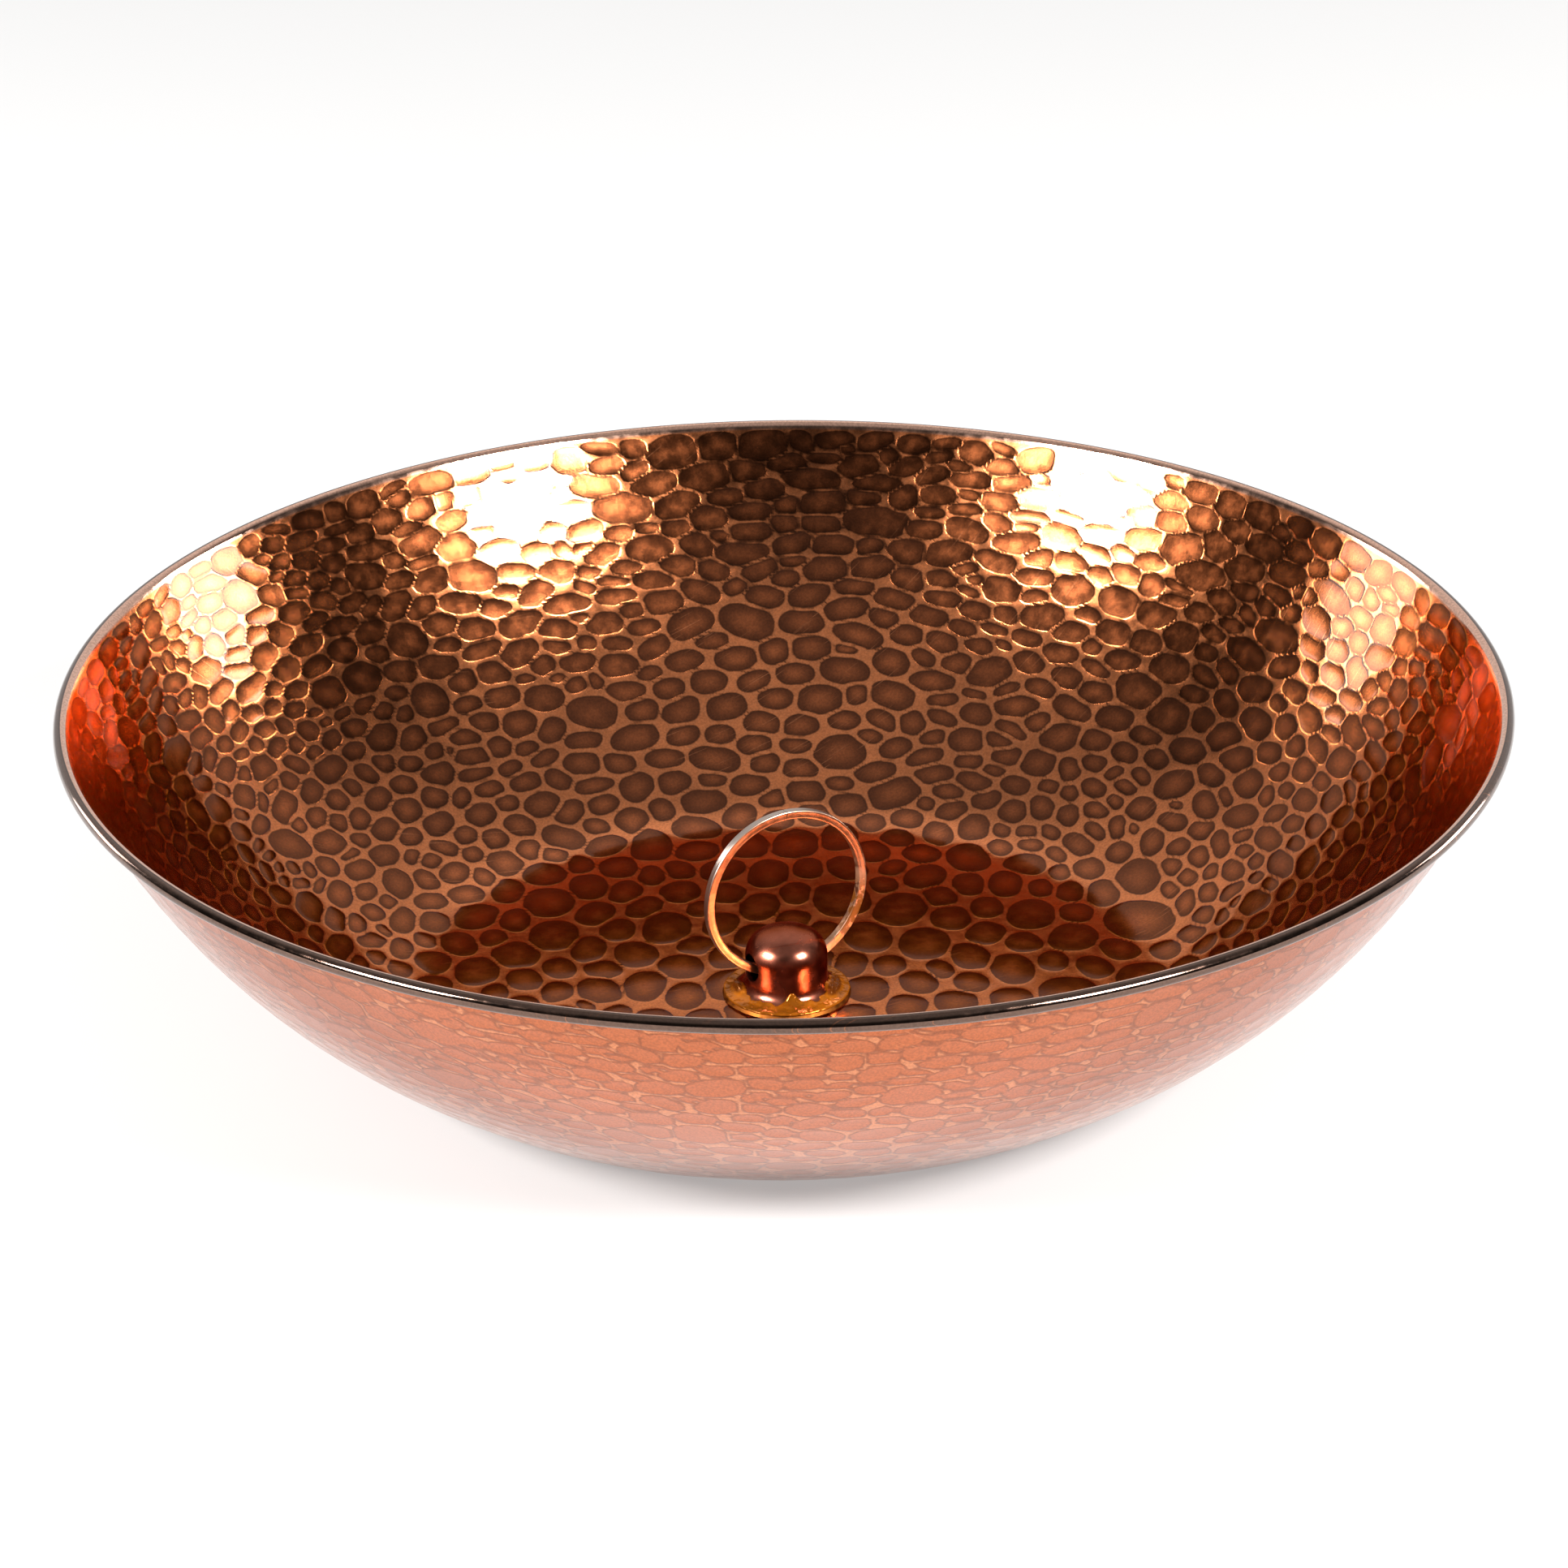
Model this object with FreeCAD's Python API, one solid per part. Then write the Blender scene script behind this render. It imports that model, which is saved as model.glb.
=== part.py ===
import FreeCAD, Part

import math
import os

# A shallow hammered copper basin with a wired rim. A domed cap stands on the middle of its floor,
# and a ring of square bar hangs through the cap's two cross holes.
# Millimetres. +Z is up, and the origin is the middle of the underside of the floor.
# The cap's two holes lie along X, so the standing ring lies in the XZ plane.

# Basin
RIM_DIAMETER = 400.0
BASIN_HEIGHT = 93.4
SHEET = 0.8
BEND_RADIUS = 39.5
BEND_TURN_DEG = 30.5
WALL_SLOPE_DEG = 66.0

# Wired edge
WIRE_DIAMETER = 2.4
WIRE_FIT = 0.02
LIP_GAP = 0.3

# Domed cap with its brim
CAP_DIAMETER = 23.1
CAP_SHEET = 1.0
CAP_HEIGHT = 19.2
CROWN_HEIGHT = 7.8
KNUCKLE_RADIUS = 7.0
BRIM_DIAMETER = 35.0
BRIM_FILLET = 3.6
HOLE_DIAMETER = 8.0
HOLE_ABOVE_FLOOR = 9.9

# Solder under the brim
SOLDER_FILM = 0.3
SOLDER_FILLET = 0.6

# Ring
RING_DIAMETER = 50.0
RING_BAR = 2.4
RING_EDGE = 0.3
RING_JOINT_GAP = 0.12

# Hardened residue on the brim: directions of each piece's two ends round the cap, and its rise
RESIDUE_RIGHT = {"from_deg": -66.0, "to_deg": -2.0, "rise": 2.2}
RESIDUE_LEFT = {"from_deg": 154.0, "to_deg": 166.0, "rise": 2.4}
RESIDUE_FRONT = {"from_deg": 194.0, "to_deg": 264.0, "rise": 0.5}
RESIDUE_MARGIN = 0.5

UP = FreeCAD.Vector(0, 0, 1)
ORIGIN = FreeCAD.Vector(0, 0, 0)

# Wired edge: the sheet's outer skin wraps the wire, and its inner skin becomes the bead
CURL_INNER = WIRE_DIAMETER / 2 + WIRE_FIT
CURL_OUTER = CURL_INNER + SHEET
WIRE_RING_RADIUS = RIM_DIAMETER / 2 - CURL_OUTER
WIRE_Z = BASIN_HEIGHT - CURL_OUTER

# Cap, above the floor
FLOOR_Z = SHEET
BRIM_Z = FLOOR_Z + SOLDER_FILM
HOLE_Z = FLOOR_Z + HOLE_ABOVE_FLOOR
CAP_RADIUS = CAP_DIAMETER / 2
BRIM_RADIUS = BRIM_DIAMETER / 2

# Ring: the middle of its bar crosses the middle of the cap's wall at the height of the holes
RING_MEAN_RADIUS = (RING_DIAMETER - RING_BAR) / 2
CAP_WALL_MIDDLE = CAP_RADIUS - CAP_SHEET / 2
RING_Z = HOLE_Z + math.sqrt(RING_MEAN_RADIUS ** 2 - CAP_WALL_MIDDLE ** 2)


def on_circle(centre, radius, degrees):
    """A point of the XZ plane on a circle, with the angle counted from +X towards +Z."""
    angle = math.radians(degrees)
    return (centre[0] + radius * math.cos(angle), centre[1] + radius * math.sin(angle))


def vector(point):
    return FreeCAD.Vector(point[0], 0, point[1])


def line(start, end):
    return Part.LineSegment(vector(start), vector(end)).toShape()


def arc(centre, radius, start_deg, end_deg):
    """An arc of the XZ plane, drawn from its start angle to its end angle."""
    middle_deg = (start_deg + end_deg) / 2
    points = [on_circle(centre, radius, degrees) for degrees in (start_deg, middle_deg, end_deg)]
    return Part.Arc(*[vector(point) for point in points]).toShape()


def revolved(edges, turn_deg=360.0):
    """The solid that a closed outline in the XZ plane sweeps round the Z axis."""
    face = Part.Face(Part.Wire(Part.__sortEdges__(edges)))
    solid = face.revolve(ORIGIN, UP, turn_deg)
    if solid.Volume < 0:
        solid.reverse()
    return solid


def bowl_arcs():
    """Centres and radii of the bend and the wall, on the sheet's outer skin.

    The bend leaves the flat floor level, and the wall leaves the bend without a corner. The wall
    ends where it touches the wire, and its radius and the floor's width follow from that.
    """
    turn = math.radians(BEND_TURN_DEG)
    slope = math.radians(WALL_SLOPE_DEG)
    top_r = WIRE_RING_RADIUS - CURL_INNER * math.sin(slope)
    top_z = WIRE_Z + CURL_INNER * math.cos(slope)
    bend_rise = BEND_RADIUS * (1 - math.cos(turn))
    wall_radius = (top_z - bend_rise) / (math.cos(turn) - math.cos(slope))
    bend_end_r = top_r - wall_radius * (math.sin(slope) - math.sin(turn))
    floor_radius = bend_end_r - BEND_RADIUS * math.sin(turn)
    bend_centre = (floor_radius, BEND_RADIUS)
    wall_centre = (bend_end_r - wall_radius * math.sin(turn), bend_rise + wall_radius * math.cos(turn))
    return bend_centre, wall_centre, wall_radius


def bowl_shell():
    """One sheet: floor, bend, wall, and the edge rolled outwards and down round the wire."""
    bend_centre, wall_centre, wall_radius = bowl_arcs()
    wire_centre = (WIRE_RING_RADIUS, WIRE_Z)
    bend_end = -90 + BEND_TURN_DEG
    wall_end = -90 + WALL_SLOPE_DEG
    curl_start = 90 + WALL_SLOPE_DEG
    open_turn = math.degrees(math.acos((CURL_INNER - LIP_GAP) / CURL_OUTER))
    curl_end = curl_start - 360 + open_turn
    floor_edge = bend_centre[0]
    outline = [
        line((0, 0), (floor_edge, 0)),
        arc(bend_centre, BEND_RADIUS, -90, bend_end),
        arc(wall_centre, wall_radius, bend_end, wall_end),
        arc(wire_centre, CURL_INNER, curl_start, curl_end),
        line(on_circle(wire_centre, CURL_INNER, curl_end), on_circle(wire_centre, CURL_OUTER, curl_end)),
        arc(wire_centre, CURL_OUTER, curl_end, curl_start),
        arc(wall_centre, wall_radius - SHEET, wall_end, bend_end),
        arc(bend_centre, BEND_RADIUS - SHEET, bend_end, -90),
        line((floor_edge, SHEET), (0, SHEET)),
        line((0, SHEET), (0, 0)),
    ]
    return revolved(outline)


def rim_wire():
    """The wire, closed into a ring inside the rolled edge."""
    return Part.makeTorus(WIRE_RING_RADIUS, WIRE_DIAMETER / 2, FreeCAD.Vector(0, 0, WIRE_Z), UP)


def cap_skin(inset):
    """One skin of the cap, from its brim up to the crown: the outer one, or one inset from it.

    Fillet up from the brim, cylinder, knuckle, crown. The crown's radius makes it meet the
    knuckle without a corner.
    """
    side_r = CAP_RADIUS - inset
    foot_z = BRIM_Z + CAP_SHEET - inset
    top_z = BRIM_Z + CAP_HEIGHT - inset
    fillet = BRIM_FILLET + inset
    knuckle = KNUCKLE_RADIUS - inset
    fillet_centre = (side_r + fillet, foot_z + fillet)
    knuckle_centre = (side_r - knuckle, BRIM_Z + CAP_HEIGHT - CROWN_HEIGHT)
    rise = top_z - knuckle_centre[1]
    crown = (knuckle_centre[0] ** 2 + rise ** 2 - knuckle ** 2) / (2 * (rise - knuckle))
    crown_centre = (0, top_z - crown)
    lean = math.degrees(math.atan2(knuckle_centre[1] - crown_centre[1], knuckle_centre[0]))
    edges = [
        arc(fillet_centre, fillet, -90, -180),
        line((side_r, fillet_centre[1]), (side_r, knuckle_centre[1])),
        arc(knuckle_centre, knuckle, 0, lean),
        arc(crown_centre, crown, lean, 90),
    ]
    return edges, (fillet_centre[0], foot_z), (0, top_z)


def cap_body():
    """The drawn cap before its cross holes."""
    outer, outer_foot, outer_top = cap_skin(0.0)
    inner, inner_foot, inner_top = cap_skin(CAP_SHEET)
    edge_low = (BRIM_RADIUS, BRIM_Z)
    edge_high = (BRIM_RADIUS, BRIM_Z + CAP_SHEET)
    joins = [
        line(outer_top, inner_top),
        line(inner_foot, edge_low),
        line(edge_low, edge_high),
        line(edge_high, outer_foot),
    ]
    return revolved(outer + inner + joins)


def cap_filled():
    """The room that the cap takes up above its brim, hollow included."""
    outer, foot, top = cap_skin(0.0)
    middle = (0, foot[1])
    return revolved(outer + [line(top, middle), line(middle, foot)])


def anchor_cap():
    """The cap, drilled straight through along X."""
    drill_length = 2 * BRIM_RADIUS
    start = FreeCAD.Vector(-BRIM_RADIUS, 0, HOLE_Z)
    drill = Part.makeCylinder(HOLE_DIAMETER / 2, drill_length, start, FreeCAD.Vector(1, 0, 0))
    return cap_body().cut(drill)


def solder_seam():
    """A film under the brim, with a small fillet round the brim's edge."""
    inner_r = cap_skin(CAP_SHEET)[1][0]
    fillet_r = BRIM_RADIUS + SOLDER_FILLET
    outline = [
        line((inner_r, FLOOR_Z), (fillet_r, FLOOR_Z)),
        line((fillet_r, FLOOR_Z), (BRIM_RADIUS, BRIM_Z + SOLDER_FILLET)),
        line((BRIM_RADIUS, BRIM_Z + SOLDER_FILLET), (BRIM_RADIUS, BRIM_Z)),
        line((BRIM_RADIUS, BRIM_Z), (inner_r, BRIM_Z)),
        line((inner_r, BRIM_Z), (inner_r, FLOOR_Z)),
    ]
    return revolved(outline)


def swing_ring():
    """A ring of square bar with broken edges, standing in the XZ plane, butt joint at its top."""
    across = FreeCAD.Vector(0, 1, 0)
    start = FreeCAD.Vector(0, -RING_BAR / 2, RING_Z)
    disc = Part.makeCylinder(RING_DIAMETER / 2, RING_BAR, start, across)
    hollow = Part.makeCylinder(RING_DIAMETER / 2 - RING_BAR, RING_BAR, start, across)
    ring = disc.cut(hollow)
    rims = [edge for edge in ring.Edges if isinstance(edge.Curve, Part.Circle)]
    ring = ring.makeFillet(RING_EDGE, rims)
    gap_corner = FreeCAD.Vector(-RING_JOINT_GAP / 2, -RING_BAR, RING_Z)
    gap = Part.makeBox(RING_JOINT_GAP, 2 * RING_BAR, RING_DIAMETER, gap_corner)
    return ring.cut(gap)


def residue(piece):
    """A low rounded bead along the brim, shaped by the cap's fillet where it meets it."""
    brim_top = BRIM_Z + CAP_SHEET
    middle_r = (CAP_RADIUS + BRIM_RADIUS) / 2
    half_width = (BRIM_RADIUS - CAP_RADIUS) / 2 - RESIDUE_MARGIN
    rise = piece["rise"]
    radius = (half_width ** 2 + rise ** 2) / (2 * rise)
    centre = (middle_r, brim_top + rise - radius)
    half_angle = math.degrees(math.atan2(half_width, radius - rise))
    inner_end = (middle_r - half_width, brim_top)
    outer_end = (middle_r + half_width, brim_top)
    outline = [arc(centre, radius, 90 - half_angle, 90 + half_angle), line(inner_end, outer_end)]
    bead = revolved(outline, piece["to_deg"] - piece["from_deg"])
    bead.rotate(ORIGIN, UP, piece["from_deg"])
    return bead.cut(cap_filled())


def build():
    os.makedirs("parts", exist_ok=True)
    pieces = {
        "bowl_shell": bowl_shell(),
        "rim_wire": rim_wire(),
        "anchor_cap": anchor_cap(),
        "solder_seam": solder_seam(),
        "swing_ring": swing_ring(),
        "residue_right": residue(RESIDUE_RIGHT),
        "residue_left": residue(RESIDUE_LEFT),
        "residue_front": residue(RESIDUE_FRONT),
    }
    for node, shape in pieces.items():
        shape.exportStep("parts/" + node + ".step")
        print(node, shape.isValid(), len(shape.Solids), round(shape.Volume, 1))


build()
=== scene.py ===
import math

import bmesh
import bpy
import numpy as np
from bpy.props import FloatProperty, FloatVectorProperty, IntProperty, PointerProperty
from bpy.types import Operator, Panel, PropertyGroup
from mathutils import Matrix, Vector, noise


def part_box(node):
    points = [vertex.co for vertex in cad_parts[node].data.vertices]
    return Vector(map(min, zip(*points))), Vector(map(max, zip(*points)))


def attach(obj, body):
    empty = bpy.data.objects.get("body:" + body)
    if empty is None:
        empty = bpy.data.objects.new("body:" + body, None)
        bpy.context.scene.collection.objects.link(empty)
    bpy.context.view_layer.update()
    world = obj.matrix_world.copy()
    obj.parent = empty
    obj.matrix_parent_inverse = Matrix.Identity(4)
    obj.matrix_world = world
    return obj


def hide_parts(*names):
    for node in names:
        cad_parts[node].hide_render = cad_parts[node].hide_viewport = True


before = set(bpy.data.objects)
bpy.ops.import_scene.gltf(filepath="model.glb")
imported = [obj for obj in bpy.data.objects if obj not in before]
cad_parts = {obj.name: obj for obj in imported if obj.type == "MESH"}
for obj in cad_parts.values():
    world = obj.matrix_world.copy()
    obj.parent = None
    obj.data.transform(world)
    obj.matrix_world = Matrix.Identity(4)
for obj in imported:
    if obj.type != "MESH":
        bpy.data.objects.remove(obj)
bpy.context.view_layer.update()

bl_info = {
    "name": "Hammered copper basin",
    "version": (1, 0, 0),
    "blender": (4, 5, 0),
    "location": "3D View > Sidebar > Basin",
    "description": "Makes a hammered copper basin with a wired rim, a domed cap and a loose ring",
    "category": "Object",
}

MM = 0.001
SHELL_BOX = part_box("bowl_shell")
RING_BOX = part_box("swing_ring")
CAP_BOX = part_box("anchor_cap")

# The sheet's line from the middle of the floor to the rim, in millimetres, as the basin was drawn
RIM_RADIUS = SHELL_BOX[1][0] / MM
BASIN_HEIGHT = SHELL_BOX[1][2] / MM
SHEET_MM = 0.8
BEND_RADIUS = 39.5
BEND_TURN_DEG = 30.5
WALL_SLOPE_DEG = 66.0
LIP_GAP = 0.3

# Where each row's number of points round the basin halves, and the most points in a row
DENSE_FROM_RADIUS = 104.0
INSIDE_POINTS = 1024
OUTSIDE_POINTS = 512

# The hammer's blows lean along this direction on the flat floor
FLOOR_GRAIN_DEG = 63.0


def linear(hex_colour):
    """Linear red, green and blue of an sRGB hex colour."""
    channels = [int(hex_colour[i:i + 2], 16) / 255 for i in (0, 2, 4)]
    return tuple(c / 12.92 if c <= 0.04045 else ((c + 0.055) / 1.055) ** 2.4 for c in channels)


def opaque(colour):
    return (colour[0], colour[1], colour[2], 1.0)


def smooth_step(low, high, values):
    share = np.clip((values - low) / (high - low), 0.0, 1.0)
    return share * share * (3 - 2 * share)


# ---------------------------------------------------------------- sizes and colours


class BasinSizes(PropertyGroup):
    """Sizes of the hammered sheet. Lengths are in millimetres."""

    sheet: FloatProperty(name="Sheet", description="Thickness of the copper sheet, in mm", default=0.8, min=0.3)
    wire: FloatProperty(name="Rim wire", description="Diameter of the wire in the rim, in mm", default=2.4, min=0.5)
    mark_wide: FloatProperty(
        name="Mark width", description="Room for one hammer mark round the wall, in mm", default=10.9, min=4)
    mark_tall_low: FloatProperty(
        name="Mark height low", description="Room for one mark up the lower wall, in mm", default=7.9, min=3)
    mark_tall_rim: FloatProperty(
        name="Mark height at rim", description="Room for one mark up the wall by the rim, in mm", default=5.9, min=3)
    floor_wide: FloatProperty(
        name="Floor mark width", description="Room across one mark of the floor, in mm", default=12.2, min=4)
    floor_long: FloatProperty(
        name="Floor mark length", description="Room along one mark of the floor, in mm", default=17.0, min=4)
    size_spread: FloatProperty(
        name="Size spread", description="How unlike in size the marks are", default=0.17, min=0, max=0.6,
        subtype="FACTOR")
    edge_rise: FloatProperty(
        name="Edge rise", description="Height of the step round a mark, in mm", default=0.05, min=0)
    crown_rise: FloatProperty(
        name="Crown rise", description="Height of a mark's middle over its edge, in mm", default=0.09, min=0)
    seed: IntProperty(name="Seed", description="Seed of the pattern of marks", default=428, min=0)


class FittingSizes(PropertyGroup):
    """Sizes of the cap, the ring and the flux. Lengths are in millimetres."""

    cap_sheet: FloatProperty(name="Cap sheet", description="Thickness of the cap's sheet, in mm", default=1.0, min=0.3)
    cap_side: FloatProperty(name="Cap diameter", description="Diameter of the cap's side, in mm", default=23.1, min=5)
    crown: FloatProperty(
        name="Crown height", description="Height of the dome over the straight side, in mm", default=7.8, min=1)
    knuckle: FloatProperty(
        name="Knuckle", description="Radius between the side and the crown, in mm", default=7.0, min=0.5)
    foot: FloatProperty(name="Foot fillet", description="Radius between the brim and the side, in mm", default=3.6)
    hole: FloatProperty(name="Cross hole", description="Diameter of the two holes, in mm", default=8.0, min=1)
    hole_height: FloatProperty(
        name="Hole height", description="Middle of the holes over the basin's floor, in mm", default=9.9, min=1)
    bar: FloatProperty(name="Ring bar", description="Side of the ring's square bar, in mm", default=2.4, min=0.5)
    bar_edge: FloatProperty(name="Bar edge", description="Radius of the bar's edges, in mm", default=0.3, min=0.05)
    joint_gap: FloatProperty(name="Ring joint", description="Gap of the butt joint, in mm", default=0.12, min=0.02)
    bend_error: FloatProperty(
        name="Bend error", description="How far the hand-bent ring is out of round, in mm", default=0.09, min=0)


class CopperColours(PropertyGroup):
    """Colours of the copper and of what is on it."""

    bright: FloatVectorProperty(
        name="Bright copper", description="Clean worked copper", subtype="COLOR", size=3,
        default=linear("c97e54"), min=0, max=1)
    outer_mark: FloatVectorProperty(
        name="Outer marks", description="Copper in the marks outside", subtype="COLOR", size=3,
        default=linear("b46239"), min=0, max=1)
    web: FloatVectorProperty(
        name="Web", description="Copper between the marks inside", subtype="COLOR", size=3,
        default=linear("e08450"), min=0, max=1)
    patina: FloatVectorProperty(
        name="Patina", description="Browned copper in the marks inside", subtype="COLOR", size=3,
        default=linear("b06036"), min=0, max=1)
    # Pale copper painted on the inner side of the rolled rim
    rim: FloatVectorProperty(
        name="Rim", description="Rubbed copper of the rolled rim", subtype="COLOR", size=3,
        default=linear("e4b49c"), min=0, max=1)
    cap: FloatVectorProperty(
        name="Cap", description="Drawn copper of the cap", subtype="COLOR", size=3,
        default=linear("a05c48"), min=0, max=1)
    ring: FloatVectorProperty(
        name="Ring", description="Copper bar of the ring", subtype="COLOR", size=3,
        default=linear("e2b08e"), min=0, max=1)
    ring_outer: FloatVectorProperty(
        name="Ring outside", description="Rubbed outer face of the ring", subtype="COLOR", size=3,
        default=linear("b9a79b"), min=0, max=1)
    residue: FloatVectorProperty(
        name="Residue", description="Hardened flux by the cap", subtype="COLOR", size=3,
        default=linear("94500c"), min=0, max=1)
    graze: FloatVectorProperty(
        name="Grazing tint", description="What the browned inside keeps of light that grazes it", subtype="COLOR",
        size=3, default=(1.0, 0.50, 0.28), min=0, max=1)
    lacquer: FloatProperty(
        name="Lacquer", description="How far the sheet is lacquered", default=0.32, min=0, max=1, subtype="FACTOR")


class StudioSizes(PropertyGroup):
    """Camera and lights."""

    distance: FloatProperty(
        name="Camera distance", description="From the lens to the middle of the rim", default=1.8, unit="LENGTH")
    elevation: FloatProperty(
        name="Elevation", description="Height of the camera over the rim, as an angle", default=math.radians(24.35),
        subtype="ANGLE")
    azimuth: FloatProperty(
        name="Azimuth", description="Turn of the camera round the basin", default=math.radians(-27.0),
        subtype="ANGLE")
    lens: FloatProperty(name="Lens", description="Focal length, in mm", default=150.3, min=10)
    softbox: FloatProperty(name="Softboxes", description="Power of each softbox", default=75.0, min=0, unit="POWER")
    end_light: FloatProperty(
        name="End lights", description="Power of the light at the basin's ends", default=16.0, min=0, unit="POWER")
    room: FloatProperty(name="Room", description="Strength of the room's own light", default=0.95, min=0)
    floor: FloatVectorProperty(
        name="Floor", description="Colour of the pale floor", subtype="COLOR", size=3,
        default=linear("959493"), min=0, max=1)


# ---------------------------------------------------------------- meshes


def make_piece(name, points, faces, smooth=True):
    """An object in the scene from points in millimetres."""
    mesh = bpy.data.meshes.new(name)
    mesh.from_pydata((np.asarray(points, dtype=float) * MM).tolist(), [], faces)
    mesh.update()
    mesh.polygons.foreach_set("use_smooth", [smooth] * len(mesh.polygons))
    piece = bpy.data.objects.new(name, mesh)
    bpy.context.scene.collection.objects.link(piece)
    return piece


def store(mesh, name, values):
    """A number for each point of a mesh, which its material reads."""
    layer = mesh.attributes.new(name, "FLOAT", "POINT")
    layer.data.foreach_set("value", np.asarray(values, dtype=np.float32))


def arc_line(centre, radius, start_deg, end_deg, spacing):
    """Points along an arc of the sheet's line, both ends included, and the arc's own directions."""
    turn = math.radians(end_deg - start_deg)
    steps = max(1, round(abs(turn) * radius / spacing))
    angles = math.radians(start_deg) + turn * np.arange(steps + 1) / steps
    out = np.stack([np.cos(angles), np.sin(angles)], axis=1)
    return np.array(centre) + radius * out, out


def turned(outline, segments):
    """Points and faces of an outline turned round the Z axis, from one pole to the other."""
    poles = (outline[0], outline[-1])
    points = [(0.0, 0.0, poles[0][1])]
    faces = []
    angle = 2 * math.pi * np.arange(segments) / segments
    for r, z in outline[1:-1]:
        points.extend(zip(r * np.cos(angle), r * np.sin(angle), np.full(segments, z)))
    rows = len(outline) - 2
    for j in range(segments):
        faces.append((0, 1 + j, 1 + (j + 1) % segments))
    for i in range(rows - 1):
        stitch(faces, 1 + i * segments, segments, 1 + (i + 1) * segments, segments)
    points.append((0.0, 0.0, poles[1][1]))
    last = 1 + (rows - 1) * segments
    for j in range(segments):
        faces.append((len(points) - 1, last + (j + 1) % segments, last + j))
    return points, faces


class SheetLine:
    """The closed line that the sheet's section follows, from the middle inside to the middle outside."""

    def __init__(self, sizes):
        sheet = sizes.sheet
        turn = math.radians(BEND_TURN_DEG)
        slope = math.radians(WALL_SLOPE_DEG)
        inner = sizes.wire / 2 + 0.02
        outer = inner + sheet
        wire = (RIM_RADIUS - outer, BASIN_HEIGHT - outer)
        top = (wire[0] - inner * math.sin(slope), wire[1] + inner * math.cos(slope))
        bend_rise = BEND_RADIUS * (1 - math.cos(turn))
        wall_radius = (top[1] - bend_rise) / (math.cos(turn) - math.cos(slope))
        bend_end = top[0] - wall_radius * (math.sin(slope) - math.sin(turn))
        floor_radius = bend_end - BEND_RADIUS * math.sin(turn)
        bend = (floor_radius, BEND_RADIUS)
        wall = (bend_end - wall_radius * math.sin(turn), bend_rise + wall_radius * math.cos(turn))
        bend_deg = BEND_TURN_DEG - 90
        wall_deg = WALL_SLOPE_DEG - 90
        start_deg = 90 + WALL_SLOPE_DEG
        open_deg = math.degrees(math.acos((inner - LIP_GAP) / outer))
        end_deg = start_deg - 360 + open_deg
        self.rows = []
        self.wire = wire
        self.length = 0.0
        self.add_floor(np.arange(3.3, floor_radius, 1.0), sheet, "inside")
        self.add(*arc_line(bend, BEND_RADIUS - sheet, -90, bend_deg, 1.0), "inside", skip_last=True)
        self.add(*arc_line(wall, wall_radius - sheet, bend_deg, wall_deg, 0.95), "inside", skip_last=True)
        self.inside_length = self.length
        self.add(*arc_line(wire, outer, start_deg, end_deg, 0.42), "rim")
        self.add(*arc_line(wire, inner, end_deg, start_deg, 0.9), "curl", skip_last=True)
        self.add(*arc_line(wall, wall_radius, wall_deg, bend_deg, 1.4), "outside", skip_last=True)
        self.add(*arc_line(bend, BEND_RADIUS, bend_deg, -90, 1.5), "outside", skip_last=True)
        self.add_floor(np.arange(floor_radius, 3.3, -1.7), 0.0, "outside")

    def add(self, points, outward, side, skip_last=False):
        """Rows along one arc. The sheet's upper side looks to the arc's own centre."""
        count = len(points) - (1 if skip_last else 0)
        for i in range(count):
            self.add_row(points[i][0], points[i][1], -outward[i][0], -outward[i][1], side)

    def add_floor(self, radii, height, side):
        for radius in radii:
            self.add_row(radius, height, 0.0, 1.0, side)

    def rim_turn(self, r, z, side):
        """How far round the rolled edge a row lies: 0 inside, 90 on top, 180 outside, as degrees over 180."""
        if side not in ("rim", "curl"):
            return 0.0
        degrees = math.degrees(math.atan2(z - self.wire[1], r - self.wire[0]))
        return ((180 - degrees) % 360) / 180

    def add_row(self, r, z, up_r, up_z, side):
        if self.rows:
            last = self.rows[-1]
            self.length += math.hypot(r - last["r"], z - last["z"])
        else:
            self.length = r
        most = INSIDE_POINTS if side in ("inside", "rim") else OUTSIDE_POINTS
        points = most
        limit = DENSE_FROM_RADIUS
        while r < limit and points > 16:
            points //= 2
            limit /= 2
        self.rows.append({"r": r, "z": z, "up": (up_r, up_z), "side": side,
                          "along": self.length, "points": points, "turn": self.rim_turn(r, z, side)})


def stitch(faces, first, first_count, second, second_count):
    """Faces between two rows of points, where one row may have twice the points of the other."""
    if first_count == second_count:
        for j in range(first_count):
            k = (j + 1) % first_count
            faces.append((first + j, second + j, second + k, first + k))
        return
    if second_count == 2 * first_count:
        for j in range(first_count):
            k = (j + 1) % first_count
            a, b, c = second + 2 * j, second + 2 * j + 1, second + (2 * j + 2) % second_count
            faces.extend([(first + j, a, b), (first + j, b, first + k), (first + k, b, c)])
        return
    if first_count == 2 * second_count:
        for j in range(second_count):
            k = (j + 1) % second_count
            a, b, c = first + 2 * j, first + 2 * j + 1, first + (2 * j + 2) % first_count
            faces.extend([(a, second + j, b), (b, second + j, second + k), (b, second + k, c)])
        return
    raise ValueError("rows of points that can't be stitched")


# ---------------------------------------------------------------- hammer marks


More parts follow.
